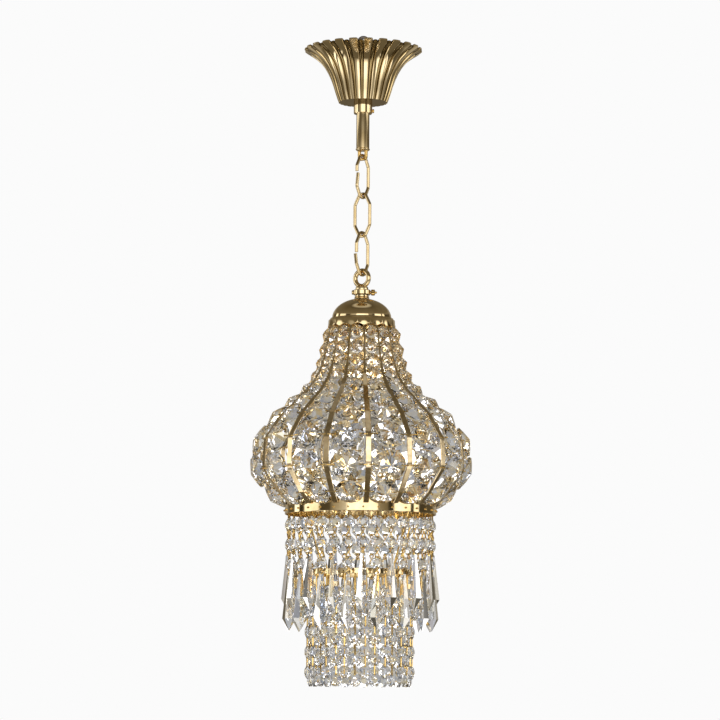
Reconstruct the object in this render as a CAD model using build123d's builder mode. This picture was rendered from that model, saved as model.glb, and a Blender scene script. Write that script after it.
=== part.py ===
from build123d import *
from math import atan2, cos, degrees, hypot, pi, radians, sin, tan
import os

# Crystal basket pendant. Millimetres, +Z up, origin at the centre of the ceiling eye's bore,
# which runs along Y. The front of the pendant faces -Y.

os.makedirs("parts", exist_ok=True)

# clearances
FIT = 0.05
SCREW_GAP = 0.3

# ceiling eye
EYE_BORE_R = 4.0
EYE_R = 7.0
EYE_THICK = 4.0
EYE_CHAMFER = 0.5
EYE_NECK_R = 2.6
EYE_CAP_HEIGHT = 3.0
EYE_CAP_STEP = 0.25
PLUG_LENGTH = 8.0

# rod tube and canopy
TUBE_R = 7.25
TUBE_BORE_R = 5.5
TUBE_TOP_Z = -18.0
TUBE_END_Z = -119.0
CUP_RIM_Z = -9.9
CUP_BASE_Z = -68.0
CUP_WALL = 1.1
CUP_RIM_RUNOUT = 1.0
CUP_HOLE_R = 8.8
CUP_HOLE_DEPTH = 20.0
CUP_FLUTES = 24
FLUTE_SHAPE = (0.0, 0.25, 1.0, 0.25)
CUP_PROFILE = [(27.0, 0.4, CUP_BASE_Z), (33.5, 0.8, -48.5), (39.0, 1.2, -35.0),
               (45.0, 1.8, -25.5), (51.0, 2.4, -19.5), (65.0, 3.0, CUP_RIM_Z)]
COLLAR_R = 10.25
COLLAR_END_Z = -80.6
COLLAR_BORE_R = TUBE_R + FIT
COLLAR_SPIGOT = 3.0
COLLAR_ROUND = 0.8
SET_SCREW_Z = COLLAR_END_Z + 3.4
SET_SCREW_HEAD_R = 2.3
SET_SCREW_HEAD = 1.8
SCREW_REACH = 10.0

# chain
WIRE_R = 1.8
LINK_GAP = 0.3
LINK_HALF_LENGTH = 23.45
LINK_HALF_WIDTH = 10.2
LINK_SIDE_HALF = 11.5
LINK_NECK_HALF = 3.7
LINK_BEND_R = 5.0
LINK_PLANE_A = 52.5
LINK_PLANE_B = LINK_PLANE_A - 90.0
LINK_END_SHIFT = 0.9
LINK_SPRING = 2.0
LINK_GAP_Z = 4.0
SHACKLE_R = 1.9
SHACKLE_HALF = 4.6
SHACKLE_BEND_R = 2.6
FERRULE_END_Z = -122.0
FERRULE_BEAD = 2.4
FERRULE_BEAD_OUT = 0.7
FERRULE_INSET = 0.2
FERRULE_TIP_INSET = 0.6
SHACKLE_BAR_Z = -130.9

# suspension loop and its clamp
LOOP_R = 8.6
LOOP_WIRE_R = 2.6
LOOP_PLANE = -33.0
NECK_R = 7.0
NECK_TOP_Z = -273.6
NECK_END_Z = -282.6
NECK_SADDLE_R = 4.6
NECK_SADDLE_DROP = 0.6
STEM_R = 5.0
STEM_END_Z = -374.0
CLAMP_R = 9.6
CLAMP_TOP_Z = -276.5
CLAMP_HEIGHT = 5.5
SCREW_R = 1.5
CLAMP_SCREW_Z = CLAMP_TOP_Z - CLAMP_HEIGHT / 2
CLAMP_BOSS_R = 2.4
CLAMP_BOSS_ROOT = 0.6
CLAMP_BOSS_LENGTH = 2.2
THUMB_HEAD_R = 3.4
THUMB_HEAD_SIDES = 12
THUMB_HEAD = 4.6
THUMB_TIP_R = 1.2
THUMB_TIP = 2.0
NUT_TOP_OUT = 0.6
NUT_BASE_OUT = 1.4

# strands of the two fringes round the pendant
STRANDS = 32
STRAND_STEP = 360.0 / STRANDS
OUTER_FRONT = 2.0
INNER_FRONT = 6.0

# dome, crown, ribs and rings
DOME_R = 32.5
DOME_RISE = 22.0
DOME_BASE_Z = -308.0
SHEET = 1.2
CROWN_R = 37.35
CROWN_WALL = 2.0
CROWN_LID = 2.0
CROWN_ROUND = 2.0
CROWN_HEIGHT = 11.0
COLUMNS = 16
COLUMN_STEP = 360.0 / COLUMNS
RIB_FRONT = 4.0
RIB_WIDTH = 6.0
RIB_THICK = 1.5
BAND_R = 82.5
BAND_TOP_Z = -509.0
BAND_HEIGHT = 14.6
BAND_HOLES = 32
BAND_HOLE_Z = -519.5
BAND_HOLE_R = 1.0
HOLE_CUT = 4.0
INNER_RING_R = 56.9
INNER_RING_WALL = 1.2
INNER_RING_TOP_Z = -583.5
INNER_RING_HEIGHT = 6.0
RODS = 4
ROD_R = 1.0
ROD_FRONT = OUTER_FRONT + 3.5 * STRAND_STEP
ROD_BEND_R = 3.0
ROD_TOP_R = BAND_R - SHEET - 1.2
ROD_TOP_DROP = 1.0
ROD_UPRIGHT = 6.0
ROD_FOOT_R = 55.8

# body crystals: radius, height, half width, half height and half thickness of each row
BODY_ROWS = [(40.2, -326.6, 4.1, 5.6, 4.0), (43.6, -343.2, 4.8, 6.6, 4.4),
             (47.0, -358.2, 5.4, 6.6, 4.4), (52.6, -372.6, 6.4, 6.8, 4.6),
             (62.7, -387.4, 8.3, 8.3, 5.2), (79.6, -402.6, 11.5, 10.6, 6.0),
             (97.0, -418.4, 14.8, 12.8, 6.4), (115.4, -444.4, 17.2, 15.6, 7.0),
             (117.4, -477.0, 17.8, 16.2, 7.0), (97.0, -503.8, 14.4, 14.0, 6.6)]
NECK_ROWS = 4
SHOULDER_ROWS = 3
ROSETTE_TABLE = 0.32
ROSETTE_EDGE = 0.16
# a rib starts under the crown, bends at each row and ends on the band
RIB_POINTS = [(37.4, -319.4)] + [(row[0], row[1]) for row in BODY_ROWS] + [(84.4, -515.2)]
CUT_SHARE = 0.36
PIN_R = 0.5
PIN_END_GAP = 0.12

# fringes
SECTORS = 8
OCTAGON_HALF = 6.9
OCTAGON_THICK = 3.2
OCTAGON_TABLE = 0.5
WIRE_PIN_R = 0.7
OUTER_R = 78.6
OUTER_HANG_Z = -521.0
OUTER_WIRE_OVER = 1.5
SHORT_BEADS = 2
LONG_BEADS = 3
OUTER_FIRST_Z = -535.6
OUTER_PITCH = 21.6
ICICLE_LENGTH = 62.0
ICICLE_HALF = 8.2
ICICLE_THICK = 5.6
ICICLE_POINT = 12.0
ICICLE_HEAD = 5.0
ICICLE_TOP_HALF = (2.2, 1.8)
ICICLE_NECK_HALF = (4.0, 3.6)
ICICLE_TIP_HALF = (0.7, 0.5)
LINK_DROP = 2.5
INNER_R = 57.2
INNER_HANG_Z = -590.2
INNER_FIRST_Z = -608.0
INNER_PITCH = 21.6
INNER_BEADS = 5
INNER_STAGGER = 8.6
INNER_STEP_IN = 3.0

# lamps inside
LAMPS = 3
LAMP_FRONT = -60.0
CLUSTER_Z = -378.0
CLUSTER_R = 11.0
CLUSTER_FOOT_R = 9.0
CLUSTER_FOOT = 6.0
ARM_R = 34.0
ARM_START_R = 6.0
ARM_DROP = 3.0
ARM_BEND_R = 4.0
ARM_WIRE_R = 2.6
HOLDER_R = 12.0
HOLDER_WALL = 4.4
HOLDER_LID = 3.0
HOLDER_TOP_Z = -386.0
HOLDER_LENGTH = 34.0
SOCKET_R = 7.1
SOCKET_DEPTH = 26.0
SOCKET_LIP = 0.5
BULB_R = 17.0
BULB_WIDE = 28.0
BULB_TAPER_R = 8.0
BULB_TAPER = 56.0
BULB_LENGTH = 66.0
BULB_START = (0.3, -1)
BULB_END = (-1, -0.25)


def save(piece, name):
    piece.part.label = name
    export_step(piece.part, f"parts/{name}.step")


def upright_plane(angle, radius, z):
    """Plane at a place on the circle: its x runs along the tangent and its normal points outwards."""
    out = (cos(radians(angle)), sin(radians(angle)), 0)
    tangent = (-out[1], out[0], 0)
    return Plane(origin=(radius * out[0], radius * out[1], z), x_dir=tangent, z_dir=out)


def radial_plane(angle):
    """Vertical plane through the axis: its x is the radius and its y is the height."""
    out = (cos(radians(angle)), sin(radians(angle)), 0)
    return Plane(origin=(0, 0, 0), x_dir=out, z_dir=(out[1], -out[0], 0))


# ---------------------------------------------------------------- ceiling eye, rod and canopy

with BuildPart() as ceiling_eye:
    with BuildSketch(Plane.XZ.offset(-EYE_THICK / 2)):
        Circle(EYE_R)
        Circle(EYE_BORE_R, mode=Mode.SUBTRACT)
    extrude(amount=EYE_THICK)
    chamfer(ceiling_eye.edges().filter_by(GeomType.CIRCLE).sort_by(SortBy.RADIUS)[-2:], EYE_CHAMFER)
    with BuildSketch(Plane.XY.offset(TUBE_TOP_Z - PLUG_LENGTH)):
        Circle(TUBE_BORE_R - FIT)
    extrude(amount=PLUG_LENGTH)
    with BuildSketch(Plane.XY.offset(TUBE_TOP_Z)):
        Circle(TUBE_R - EYE_CAP_STEP)
    extrude(amount=EYE_CAP_HEIGHT)
    with BuildSketch(Plane.XY.offset(TUBE_TOP_Z + EYE_CAP_HEIGHT)):
        Circle(EYE_NECK_R)
    extrude(amount=-TUBE_TOP_Z - EYE_CAP_HEIGHT - (EYE_R + EYE_BORE_R) / 2)
save(ceiling_eye, "ceiling_eye")

with BuildPart() as rod_tube:
    with BuildSketch(Plane.XY.offset(TUBE_END_Z)):
        Circle(TUBE_R)
        Circle(TUBE_BORE_R, mode=Mode.SUBTRACT)
    extrude(amount=TUBE_TOP_Z - TUBE_END_Z)
save(rod_tube, "rod_tube")

with BuildPart() as rod_ferrule:
    with BuildSketch(Plane.XZ):
        with BuildLine():
            bead_r, bead_end_z = TUBE_R - FERRULE_INSET, TUBE_END_Z - FERRULE_BEAD
            Polyline((0, TUBE_END_Z + PLUG_LENGTH), (TUBE_BORE_R - FIT, TUBE_END_Z + PLUG_LENGTH),
                     (TUBE_BORE_R - FIT, TUBE_END_Z), (bead_r, TUBE_END_Z))
            ThreePointArc((bead_r, TUBE_END_Z), (TUBE_R + FERRULE_BEAD_OUT, TUBE_END_Z - FERRULE_BEAD / 2),
                          (bead_r, bead_end_z))
            Polyline((bead_r, bead_end_z), (TUBE_R - FERRULE_TIP_INSET, FERRULE_END_Z),
                     (0, FERRULE_END_Z), (0, TUBE_END_Z + PLUG_LENGTH))
        make_face()
    revolve(axis=Axis.Z)
save(rod_ferrule, "rod_ferrule")

shackle_top = FERRULE_END_Z - SHACKLE_BAR_Z


def plane_at(angle, z):
    """Vertical plane whose x runs at that angle in plan and whose y is up."""
    x_dir = Vector(cos(radians(angle)), sin(radians(angle)), 0)
    return Plane(origin=(0, 0, z), x_dir=x_dir, z_dir=x_dir.cross(Vector(0, 0, 1)))


with BuildPart() as chain_shackle:
    with BuildLine(plane_at(LINK_PLANE_B, SHACKLE_BAR_Z)) as stirrup:
        FilletPolyline((-SHACKLE_HALF, shackle_top), (-SHACKLE_HALF, 0), (SHACKLE_HALF, 0),
                       (SHACKLE_HALF, shackle_top), radius=SHACKLE_BEND_R)
    with BuildSketch(Plane(origin=stirrup.wires()[0] @ 0, z_dir=stirrup.wires()[0] % 0)):
        Circle(SHACKLE_R)
    sweep()
save(chain_shackle, "chain_shackle")


def cup_outline(radius, depth, inset=0.0):
    """Points of a fluted circle: each flute has a broad round crest and a narrow valley."""
    points = []
    corners = CUP_FLUTES * len(FLUTE_SHAPE)
    for k in range(corners):
        angle = 2 * pi * k / corners
        drop = FLUTE_SHAPE[k % len(FLUTE_SHAPE)] * depth
        points.append(((radius - drop - inset) * cos(angle), (radius - drop - inset) * sin(angle)))
    return points


with BuildPart() as canopy_cup:
    for radius, depth, z in CUP_PROFILE:
        with BuildSketch(Plane.XY.offset(z)):
            Polygon(*cup_outline(radius, depth), align=None)
    loft(ruled=True)
    cutters = []
    for radius, depth, z in CUP_PROFILE:
        lift = CUP_WALL if z == CUP_BASE_Z else 0.0
        lift = CUP_RIM_RUNOUT if z == CUP_RIM_Z else lift
        with BuildSketch(Plane.XY.offset(z + lift), mode=Mode.PRIVATE) as inner:
            Polygon(*cup_outline(radius, depth, CUP_WALL), align=None)
        cutters.append(inner.sketch.face())
    loft(cutters, ruled=True, mode=Mode.SUBTRACT)
    with Locations((0, 0, CUP_BASE_Z)):
        Hole(CUP_HOLE_R, depth=CUP_HOLE_DEPTH)
save(canopy_cup, "canopy_cup")

with BuildPart() as canopy_collar:
    with BuildSketch(Plane.XY.offset(COLLAR_END_Z)):
        Circle(COLLAR_R)
    extrude(amount=CUP_BASE_Z - COLLAR_END_Z)
    with BuildSketch(Plane.XY.offset(CUP_BASE_Z)):
        Circle(CUP_HOLE_R - FIT)
    extrude(amount=COLLAR_SPIGOT)
    with Locations((0, 0, CUP_BASE_Z)):
        Hole(COLLAR_BORE_R)
    with BuildSketch(Plane.YZ.offset(TUBE_R)):
        with Locations((0, SET_SCREW_Z)):
            Circle(SCREW_R)
    extrude(amount=SCREW_REACH, mode=Mode.SUBTRACT)
    fillet(canopy_collar.edges().group_by(Axis.Z)[0].sort_by(SortBy.RADIUS)[-1], COLLAR_ROUND)
save(canopy_collar, "canopy_collar")

with BuildPart() as canopy_set_screw:
    with BuildSketch(Plane.YZ.offset(TUBE_R + SCREW_GAP)):
        with Locations((0, SET_SCREW_Z)):
            Circle(SCREW_R - FIT)
    extrude(amount=COLLAR_R - TUBE_R)
    with BuildSketch(Plane.YZ.offset(COLLAR_R + SCREW_GAP)):
        with Locations((0, SET_SCREW_Z)):
            Circle(SET_SCREW_HEAD_R)
    extrude(amount=SET_SCREW_HEAD)
save(canopy_set_screw, "canopy_set_screw")

# ---------------------------------------------------------------- chain


def link_centre(number):
    first = SHACKLE_BAR_Z + SHACKLE_R + LINK_GAP + WIRE_R - LINK_HALF_LENGTH
    return first - (number - 1) * (2 * LINK_HALF_LENGTH - 2 * WIRE_R - LINK_GAP)


def link_route(gap_z, spring):
    """Corners of a link's wire from one end round to the other; the ends stand apart by spring."""
    w, s, n, h = LINK_HALF_WIDTH, LINK_SIDE_HALF, LINK_NECK_HALF, LINK_HALF_LENGTH
    return [(-w, gap_z + LINK_END_SHIFT), (-w, s), (-n, h), (n, h), (w, s), (w, -s), (n, -h), (-n, -h),
            (-w, -s), (-w + spring, gap_z - LINK_END_SHIFT)]


# the first and third links are open, sprung apart at the side; the second is closed
LINKS = ((1, LINK_PLANE_A, LINK_GAP_Z, LINK_SPRING), (2, LINK_PLANE_B, 0, 0),
         (3, LINK_PLANE_A, 0, -LINK_SPRING))
for number, plane_angle, gap_z, spring in LINKS:
    corners = link_route(gap_z, spring)
    with BuildPart() as chain_link:
        with BuildLine(plane_at(plane_angle, link_centre(number))) as route:
            if spring == 0:
                FilletPolyline(*corners[1:9], radius=LINK_BEND_R, close=True)
            else:
                FilletPolyline(*corners, radius=LINK_BEND_R)
        with BuildSketch(Plane(origin=route.wires()[0] @ 0, z_dir=route.wires()[0] % 0)):
            Circle(WIRE_R)
        sweep()
    save(chain_link, f"chain_link_{number}")

# ---------------------------------------------------------------- suspension loop and clamp

loop_z = link_centre(3) - LINK_HALF_LENGTH + WIRE_R + LINK_GAP + LOOP_WIRE_R - LOOP_R

with BuildPart() as suspension_loop:
    with Locations(plane_at(LOOP_PLANE, loop_z).location):
        Torus(LOOP_R, LOOP_WIRE_R)
    with BuildSketch(Plane.XZ):
        with BuildLine():
            Polyline((0, loop_z - LOOP_R), (NECK_SADDLE_R, loop_z - LOOP_R + NECK_SADDLE_DROP),
                     (NECK_R, NECK_TOP_Z),
                     (NECK_R, NECK_END_Z), (STEM_R, NECK_END_Z), (STEM_R, STEM_END_Z),
                     (0, STEM_END_Z), (0, loop_z - LOOP_R))
        make_face()
    revolve(axis=Axis.Z)
save(suspension_loop, "suspension_loop")

with BuildPart() as clamp_collar:
    with BuildSketch(Plane.XY.offset(CLAMP_TOP_Z - CLAMP_HEIGHT)):
        Circle(CLAMP_R)
        Circle(NECK_R + FIT, mode=Mode.SUBTRACT)
    extrude(amount=CLAMP_HEIGHT)
    with BuildSketch(Plane.YZ.offset(NECK_R)):
        with Locations((0, CLAMP_SCREW_Z)):
            Circle(SCREW_R)
    extrude(amount=SCREW_REACH, mode=Mode.SUBTRACT)
    with BuildSketch(Plane.YZ.offset(-CLAMP_R + CLAMP_BOSS_ROOT)):
        with Locations((0, CLAMP_SCREW_Z)):
            Circle(CLAMP_BOSS_R)
    extrude(amount=-CLAMP_BOSS_LENGTH)
save(clamp_collar, "clamp_collar")

with BuildPart() as thumb_screw:
    with BuildSketch(Plane.YZ.offset(NECK_R + SCREW_GAP)):
        with Locations((0, CLAMP_SCREW_Z)):
            Circle(SCREW_R - FIT)
    extrude(amount=CLAMP_R - NECK_R)
    with BuildSketch(Plane.YZ.offset(CLAMP_R + SCREW_GAP)):
        with Locations((0, CLAMP_SCREW_Z)):
            RegularPolygon(THUMB_HEAD_R, THUMB_HEAD_SIDES)
    extrude(amount=THUMB_HEAD)
    with BuildSketch(Plane.YZ.offset(CLAMP_R + SCREW_GAP + THUMB_HEAD)):
        with Locations((0, CLAMP_SCREW_Z)):
            Circle(THUMB_TIP_R)
    extrude(amount=THUMB_TIP)
save(thumb_screw, "thumb_screw")

with BuildPart() as stem_nut:
    with BuildSketch(Plane.XZ):
        with BuildLine():
            nut_top_z, nut_base_z = NECK_END_Z - FIT, DOME_BASE_Z + DOME_RISE + FIT
            Polyline((STEM_R + FIT, nut_top_z), (NECK_R + NUT_TOP_OUT, nut_top_z),
                     (NECK_R + NUT_BASE_OUT, nut_base_z), (STEM_R + FIT, nut_base_z),
                     (STEM_R + FIT, nut_top_z))
        make_face()
    revolve(axis=Axis.Z)
save(stem_nut, "stem_nut")

# ---------------------------------------------------------------- dome, crown, ribs and rings

with BuildPart() as dome_cap:
    with BuildSketch(Plane.XZ):
        with Locations((0, DOME_BASE_Z)):
            Ellipse(DOME_R, DOME_RISE)
            Ellipse(DOME_R - SHEET, DOME_RISE - SHEET, mode=Mode.SUBTRACT)
        with Locations((0, DOME_BASE_Z - DOME_R)):
            Rectangle(3 * DOME_R, 2 * DOME_R, mode=Mode.SUBTRACT)
        with Locations((-2 * DOME_R + STEM_R + FIT, DOME_BASE_Z)):
            Rectangle(4 * DOME_R, 4 * DOME_R, mode=Mode.SUBTRACT)
    revolve(axis=Axis.Z)
save(dome_cap, "dome_cap")

crown_base_z = DOME_BASE_Z - CROWN_HEIGHT
with BuildPart() as crown_collar:
    with BuildSketch(Plane.XZ):
        with BuildLine():
            lid_top_z, lid_end_z = DOME_BASE_Z - FIT, DOME_BASE_Z - FIT - CROWN_LID
            Polyline((STEM_R + FIT, lid_top_z), (CROWN_R - CROWN_ROUND, lid_top_z),
                     (CROWN_R, lid_top_z - CROWN_ROUND), (CROWN_R, crown_base_z),
                     (CROWN_R - CROWN_WALL, crown_base_z), (CROWN_R - CROWN_WALL, lid_end_z),
                     (STEM_R + FIT, lid_end_z), (STEM_R + FIT, lid_top_z))
        make_face()
    revolve(axis=Axis.Z)
save(crown_collar, "crown_collar")


def strip_outline(points, thick):
    """Closed outline of a bent strip of that thickness, its outer face along the points."""
    normals = []
    for (r0, z0), (r1, z1) in zip(points, points[1:]):
        length = hypot(r1 - r0, z1 - z0)
        normals.append(((z1 - z0) / length, -(r1 - r0) / length))
    inner = []
    for k, (r, z) in enumerate(points):
        before = normals[max(k - 1, 0)]
        after = normals[min(k, len(normals) - 1)]
        share = thick / (1 + before[0] * after[0] + before[1] * after[1])
        inner.append((r + share * (before[0] + after[0]), z + share * (before[1] + after[1])))
    return points + inner[::-1]


with BuildPart() as ribs:
    for k in range(COLUMNS):
        with BuildSketch(radial_plane(-90 + RIB_FRONT + k * COLUMN_STEP)):
            Polygon(*strip_outline(RIB_POINTS, RIB_THICK), align=None)
        extrude(amount=RIB_WIDTH / 2, both=True)
save(ribs, "ribs")

with BuildPart() as lower_band:
    with BuildSketch(Plane.XY.offset(BAND_TOP_Z - BAND_HEIGHT)):
        Circle(BAND_R)
        Circle(BAND_R - SHEET, mode=Mode.SUBTRACT)
    extrude(amount=BAND_HEIGHT)
    for k in range(BAND_HOLES):
        hole_angle = -90 + OUTER_FRONT + k * STRAND_STEP
        with BuildSketch(upright_plane(hole_angle, BAND_R - HOLE_CUT, BAND_HOLE_Z)):
            Circle(BAND_HOLE_R)
        extrude(amount=2 * HOLE_CUT, mode=Mode.SUBTRACT)
save(lower_band, "lower_band")

with BuildPart() as inner_ring:
    with BuildSketch(Plane.XY.offset(INNER_RING_TOP_Z - INNER_RING_HEIGHT)):
        Circle(INNER_RING_R + INNER_RING_WALL)
        Circle(INNER_RING_R, mode=Mode.SUBTRACT)
    extrude(amount=INNER_RING_HEIGHT)
save(inner_ring, "inner_ring")

with BuildPart() as inner_ring_rods:
    for k in range(RODS):
        with BuildLine(radial_plane(-90 + ROD_FRONT + k * 360 / RODS)) as rod_line:
            FilletPolyline((ROD_TOP_R, BAND_TOP_Z - ROD_TOP_DROP),
                           (ROD_TOP_R, BAND_TOP_Z - ROD_TOP_DROP - ROD_UPRIGHT),
                           (ROD_FOOT_R, INNER_RING_TOP_Z + ROD_UPRIGHT),
                           (ROD_FOOT_R, INNER_RING_TOP_Z - INNER_RING_HEIGHT), radius=ROD_BEND_R)
        with BuildSketch(Plane(origin=rod_line.wires()[0] @ 0, z_dir=rod_line.wires()[0] % 0)):
            Circle(ROD_R)
        sweep()
save(inner_ring_rods, "inner_ring_rods")

# ---------------------------------------------------------------- lamps

with BuildPart() as lamp_cluster:
    with BuildSketch(Plane.XY.offset(CLUSTER_Z)):
        Circle(CLUSTER_R)
    extrude(amount=STEM_END_Z - FIT - CLUSTER_Z)
    with BuildSketch(Plane.XY.offset(CLUSTER_Z - CLUSTER_FOOT)):
        Circle(CLUSTER_FOOT_R)
    extrude(amount=CLUSTER_FOOT)
    for k in range(LAMPS):
        angle = radians(LAMP_FRONT + k * 360 / LAMPS)
        with BuildLine(Plane(origin=(0, 0, CLUSTER_Z), x_dir=(cos(angle), sin(angle), 0),
                             z_dir=(sin(angle), -cos(angle), 0))) as arm:
            FilletPolyline((ARM_START_R, -ARM_DROP), (ARM_R, -ARM_DROP),
                           (ARM_R, HOLDER_TOP_Z - CLUSTER_Z + FIT), radius=ARM_BEND_R)
        with BuildSketch(Plane(origin=arm.wires()[0] @ 0, z_dir=arm.wires()[0] % 0)):
            Circle(ARM_WIRE_R)
        sweep()
save(lamp_cluster, "lamp_cluster")

with BuildPart() as lampholders:
    for k in range(LAMPS):
        angle = radians(LAMP_FRONT + k * 360 / LAMPS)
        place = (ARM_R * cos(angle), ARM_R * sin(angle))
        with BuildSketch(Plane.XY.offset(HOLDER_TOP_Z - HOLDER_LENGTH)):
            with Locations(place):
                Circle(HOLDER_R)
                Circle(HOLDER_R - HOLDER_WALL, mode=Mode.SUBTRACT)
        extrude(amount=HOLDER_LENGTH - HOLDER_LID)
        with BuildSketch(Plane.XY.offset(HOLDER_TOP_Z - HOLDER_LID)):
            with Locations(place):
                Circle(HOLDER_R)
        extrude(amount=HOLDER_LID)
save(lampholders, "lampholders")

holder_end_z = HOLDER_TOP_Z - HOLDER_LENGTH
with BuildPart() as bulbs:
    for k in range(LAMPS):
        angle = radians(LAMP_FRONT + k * 360 / LAMPS)
        axis_x, axis_y = ARM_R * cos(angle), ARM_R * sin(angle)
        place = Plane(origin=(axis_x, axis_y, holder_end_z), x_dir=(1, 0, 0), z_dir=(0, -1, 0))
        with BuildSketch(place):
            with BuildLine():
                Polyline((0, SOCKET_DEPTH), (SOCKET_R, SOCKET_DEPTH), (SOCKET_R, -SOCKET_LIP))
                Spline((SOCKET_R, -SOCKET_LIP), (BULB_R, -BULB_WIDE), (BULB_TAPER_R, -BULB_TAPER),
                       (0, -BULB_LENGTH), tangents=(BULB_START, BULB_END))
                Line((0, -BULB_LENGTH), (0, SOCKET_DEPTH))
            make_face()
        revolve(axis=Axis((axis_x, axis_y, 0), (0, 0, 1)))
save(bulbs, "bulbs")

# ---------------------------------------------------------------- crystals


def rim(half_width, half_height, share):
    """Eight corners of a rectangle with its corners cut off, scaled by share."""
    a, b = half_width * share, half_height * share
    short_a, short_b = a * CUT_SHARE, b * CUT_SHARE
    return [(a, short_b), (short_a, b), (-short_a, b), (-a, short_b),
            (-a, -short_b), (-short_a, -b), (short_a, -b), (a, -short_b)]


def bicone(place, half_width, half_height, half_thick, table=ROSETTE_TABLE):
    """Loft of a faceted crystal: small table, thick middle, small table."""
    faces = []
    edge = half_thick * ROSETTE_EDGE
    for z, share in ((-half_thick, table), (-edge, 1.0), (edge, 1.0), (half_thick, table)):
        with BuildSketch(place.offset(z), mode=Mode.PRIVATE) as level:
            Polygon(*rim(half_width, half_height, share), align=None)
        faces.append(level.sketch.face())
    loft(faces, ruled=True)


def rib_slope(z):
    """Mean lean of the stretches of rib that meet at that height, in degrees, outwards going down."""
    leans = [degrees(atan2(r1 - r0, z0 - z1))
             for (r0, z0), (r1, z1) in zip(RIB_POINTS, RIB_POINTS[1:]) if z1 <= z <= z0]
    return sum(leans) / len(leans)


def column_plane(angle, radius, z, lean):
    """Plane of a body crystal: x along the tangent, normal outwards and raised by lean."""
    out = Vector(cos(radians(angle)), sin(radians(angle)), 0)
    normal = out * cos(radians(lean)) + Vector(0, 0, 1) * sin(radians(lean))
    return Plane(origin=out * radius + Vector(0, 0, z), x_dir=out.cross(Vector(0, 0, -1)), z_dir=normal)


def chord_radius(radius):
    """Distance from the axis to the middle of a panel, level with the middle of the ribs."""
    return (radius - RIB_THICK / 2) * cos(radians(COLUMN_STEP / 2))


first_column = -90 + RIB_FRONT + COLUMN_STEP / 2
shoulder_end = NECK_ROWS + SHOULDER_ROWS
GROUPS = {"neck_beads": BODY_ROWS[:NECK_ROWS], "shoulder_rosettes": BODY_ROWS[NECK_ROWS:shoulder_end],
          "belly_rosettes": BODY_ROWS[shoulder_end:]}
for name, rows in GROUPS.items():
    with BuildPart() as column:
        for radius, z, half_width, half_height, half_thick in rows:
            bicone(column_plane(first_column, chord_radius(radius), z, rib_slope(z)),
                   half_width, half_height, half_thick)
    with BuildPart() as gem_group:
        with PolarLocations(0, COLUMNS):
            add(column.part)
    save(gem_group, name)

with BuildPart() as column_pins:
    for radius, z, half_width, half_height, half_thick in BODY_ROWS:
        rib_side = (chord_radius(radius) * tan(radians(COLUMN_STEP / 2))
                    - RIB_WIDTH / 2 / cos(radians(COLUMN_STEP / 2)))
        out = Vector(cos(radians(first_column)), sin(radians(first_column)), 0)
        for side in (-1, 1):
            tangent = Vector(-out.Y, out.X, 0) * side
            start = out * chord_radius(radius) + tangent * half_width + Vector(0, 0, z)
            with BuildSketch(Plane(origin=start, z_dir=tangent)):
                Circle(PIN_R)
            extrude(amount=rib_side - PIN_END_GAP - half_width)
with BuildPart() as rosette_pins:
    with PolarLocations(0, COLUMNS):
        add(column_pins.part)
save(rosette_pins, "rosette_pins")


def octagon(radius, z):
    """One 14 mm octagon bead on the +X side of a strand's circle."""
    bicone(upright_plane(0, radius, z), OCTAGON_HALF, OCTAGON_HALF, OCTAGON_THICK,
           table=OCTAGON_TABLE)


def icicle(radius, top_z):
    """Long faceted taper that widens to a shoulder and ends in a pyramid point."""
    faces = []
    levels = ((0, ICICLE_TOP_HALF), (ICICLE_HEAD, ICICLE_NECK_HALF),
              (ICICLE_LENGTH - ICICLE_POINT, (ICICLE_HALF, ICICLE_THICK)),
              (ICICLE_LENGTH, ICICLE_TIP_HALF))
    for drop, (half_width, half_thick) in levels:
        with BuildSketch(Plane(origin=(radius, 0, top_z - drop), x_dir=(0, 1, 0)),
                         mode=Mode.PRIVATE) as level:
            Polygon(*rim(half_width, half_thick, 1.0), align=None)
        faces.append(level.sketch.face())
    loft(faces, ruled=True)


def wires(radius, tops, ends):
    """Upright wires on the +X side of a strand's circle, from each top to each end."""
    for top_z, end_z in zip(tops, ends):
        with BuildSketch(Plane.XY.offset(end_z), mode=Mode.PRIVATE) as section:
            with Locations((radius, 0)):
                Circle(WIRE_PIN_R)
        extrude(section.sketch, amount=top_z - end_z)


# outer strands: a short one has two octagons and an icicle, a long one has three
outer_gems, outer_links = [], []
for beads in (SHORT_BEADS, LONG_BEADS):
    centres = [OUTER_FIRST_Z - n * OUTER_PITCH for n in range(beads)]
    icicle_top = centres[-1] - OCTAGON_HALF - LINK_DROP
    with BuildPart() as strand:
        for z in centres:
            octagon(OUTER_R, z)
        icicle(OUTER_R, icicle_top)
    outer_gems.append(strand.part)
    with BuildPart() as strand_wires:
        wires(OUTER_R, [OUTER_HANG_Z + OUTER_WIRE_OVER] + [z - OCTAGON_HALF for z in centres],
              [z + OCTAGON_HALF for z in centres] + [icicle_top])
    outer_links.append(strand_wires.part)

# inner strands: five octagons, every other strand further in and lower
inner_gems, inner_links = [], []
for radius, first_z in ((INNER_R, INNER_FIRST_Z),
                        (INNER_R - INNER_STEP_IN, INNER_FIRST_Z - INNER_STAGGER)):
    centres = [first_z - n * INNER_PITCH for n in range(INNER_BEADS)]
    with BuildPart() as strand:
        for z in centres:
            octagon(radius, z)
    inner_gems.append(strand.part)
    with BuildPart() as strand_wires:
        wires(radius, [INNER_HANG_Z] + [z - OCTAGON_HALF for z in centres[:-1]],
              [z + OCTAGON_HALF for z in centres])
    inner_links.append(strand_wires.part)

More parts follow.
